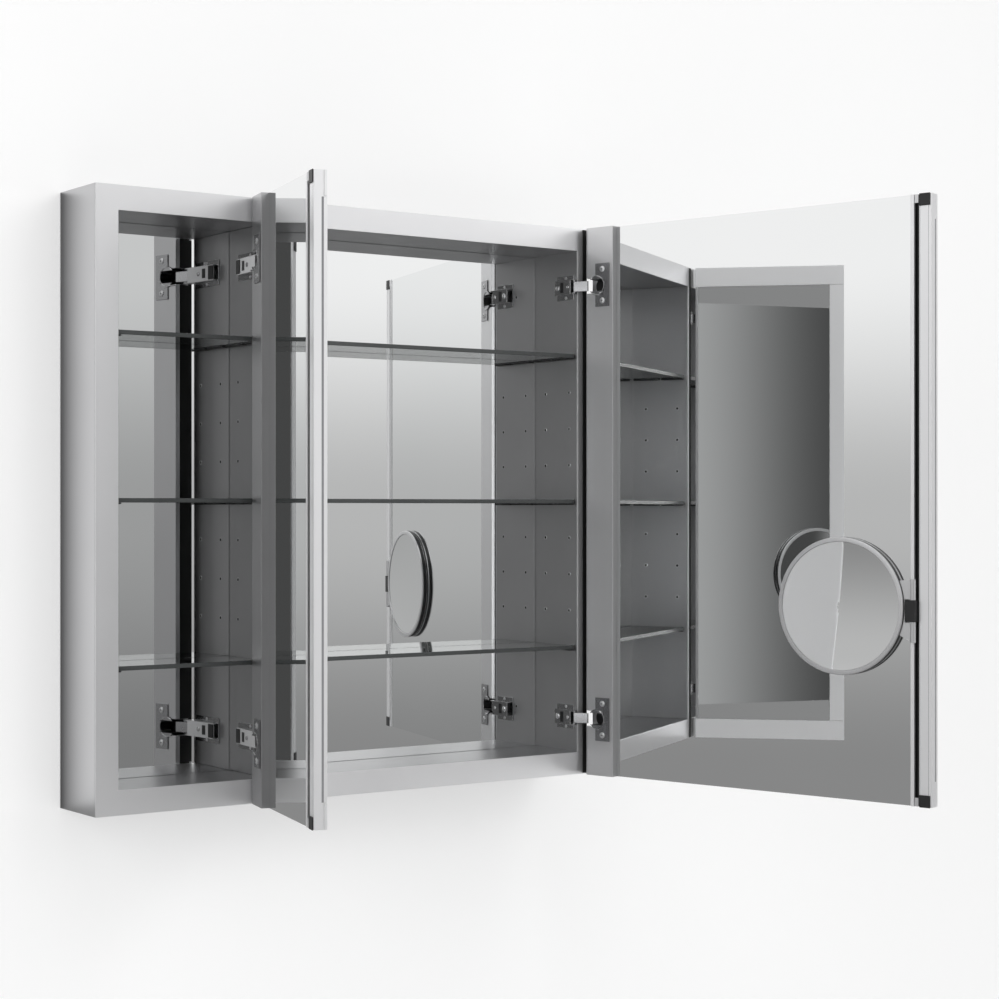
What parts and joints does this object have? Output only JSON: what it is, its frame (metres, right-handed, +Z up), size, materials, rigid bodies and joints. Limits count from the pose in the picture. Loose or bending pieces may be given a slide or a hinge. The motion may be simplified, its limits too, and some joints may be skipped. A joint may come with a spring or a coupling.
{
  "type": "medicine cabinet",
  "caption": "Wall-hung mirrored medicine cabinet with two hinged mirror doors, glass shelves and a folding magnifying mirror on a vertical track.",
  "frame": {"origin": "centre of the back panel's rear face, where the cabinet meets the wall", "axes": "+Y into the wall, +Z up, +X to the right as seen from the room"},
  "size_m": [0.9086, 0.6042, 0.762],
  "materials": {
    "aluminium": "satin anodised",
    "nickel": "bright nickel plate",
    "mirror": "silvered glass",
    "glass": "clear polished",
    "black_plastic": "fine satin",
    "door_core": "plain",
    "rubber": "matte"
  },
  "bodies": {
    "cabinet": {"back_mirror_left": "mirror", "back_mirror_right": "mirror", "back_panel": "aluminium", "bottom_panel": "aluminium", "divider_panel": "aluminium", "edge_seal_divider": "rubber", "edge_seal_right": "rubber", "front_frame": "aluminium", "left_hinge_bottom_arm": "nickel", "left_hinge_bottom_plate": "nickel", "left_hinge_top_arm": "nickel", "left_hinge_top_plate": "nickel", "right_hinge_bottom_arm": "nickel", "right_hinge_bottom_plate": "nickel", "right_hinge_top_arm": "nickel", "right_hinge_top_plate": "nickel", "shelf_left_1": "glass", "shelf_left_2": "glass", "shelf_left_3": "glass", "side_panel_left": "aluminium", "side_panel_right": "aluminium", "top_panel": "aluminium"},
    "left_door": {"left_door_cap_bottom": "black_plastic", "left_door_cap_top": "black_plastic", "left_door_core": "door_core", "left_door_handle_stile": "aluminium", "left_door_hinge_stile": "aluminium", "left_door_inner_mirror": "mirror", "left_door_outer_mirror": "mirror", "left_door_rail_bottom": "aluminium", "left_door_rail_top": "aluminium", "left_door_track": "black_plastic", "left_hinge_bottom_cup": "black_plastic", "left_hinge_top_cup": "black_plastic"},
    "right_door": {"right_door_cap_bottom": "black_plastic", "right_door_cap_top": "black_plastic", "right_door_core": "door_core", "right_door_handle_stile": "aluminium", "right_door_hinge_stile": "aluminium", "right_door_inner_mirror": "mirror", "right_door_outer_mirror": "mirror", "right_door_rail_bottom": "aluminium", "right_door_rail_top": "aluminium", "right_door_track": "black_plastic", "right_hinge_bottom_cup": "black_plastic", "right_hinge_top_cup": "black_plastic"},
    "left_hinge_links": {"left_hinge_bottom_link": "nickel", "left_hinge_top_link": "nickel"},
    "right_hinge_links": {"right_hinge_bottom_link": "nickel", "right_hinge_top_link": "nickel"},
    "magnifier_carriage": {"magnifier_knuckle": "black_plastic", "magnifier_slider": "black_plastic"},
    "magnifier": {"magnifier_back_plate": "nickel", "magnifier_bracket": "nickel", "magnifier_mirror": "mirror", "magnifier_pin": "nickel", "magnifier_ring": "nickel"},
    "lower_shelf": {"shelf_right_1": "glass"},
    "middle_shelf": {"shelf_right_2": "glass"},
    "upper_shelf": {"shelf_right_3": "glass"}
  },
  "joints": [
    {"name": "left_door_hinge", "type": "hinge", "parent": "cabinet", "child": "left_door", "pos_m": [-0.15418, -0.11597, 0], "axis": [0, 0, 1], "range_deg": [-75.08, 14.9]},
    {"name": "right_door_hinge", "type": "hinge", "parent": "cabinet", "child": "right_door", "pos_m": [0.37591, -0.10992, 0], "axis": [0, 0, 1], "range_deg": [-105.37, 0]},
    {"name": "left_link_pivot", "type": "hinge", "parent": "cabinet", "child": "left_hinge_links", "pos_m": [-0.151, -0.096, 0], "axis": [0, 0, 1], "range_deg": [-30.1, 6]},
    {"name": "right_link_pivot", "type": "hinge", "parent": "cabinet", "child": "right_hinge_links", "pos_m": [0.3595, -0.097, 0], "axis": [0, 0, 1], "range_deg": [-70.4, 0]},
    {"name": "magnifier_slide", "type": "slide", "parent": "right_door", "child": "magnifier_carriage", "axis": [0, 0, 1], "range_m": [-0.14, 0.42]},
    {"name": "magnifier_swing", "type": "hinge", "parent": "magnifier_carriage", "child": "magnifier", "pos_m": [0.50192, -0.58388, -0.1375], "axis": [0, 0, 1], "range_deg": [0, 160]},
    {"name": "lower_shelf_slide", "type": "slide", "parent": "cabinet", "child": "lower_shelf", "axis": [0, -1, 0], "range_m": [0, 0.08]},
    {"name": "middle_shelf_slide", "type": "slide", "parent": "cabinet", "child": "middle_shelf", "axis": [0, -1, 0], "range_m": [0, 0.08]},
    {"name": "upper_shelf_slide", "type": "slide", "parent": "cabinet", "child": "upper_shelf", "axis": [0, -1, 0], "range_m": [0, 0.08]}
  ],
  "couplings": [
    {"joint": "left_link_pivot", "follows": "left_door_hinge", "ratio": 0.4},
    {"joint": "right_link_pivot", "follows": "right_door_hinge", "ratio": 0.667}
  ]
}
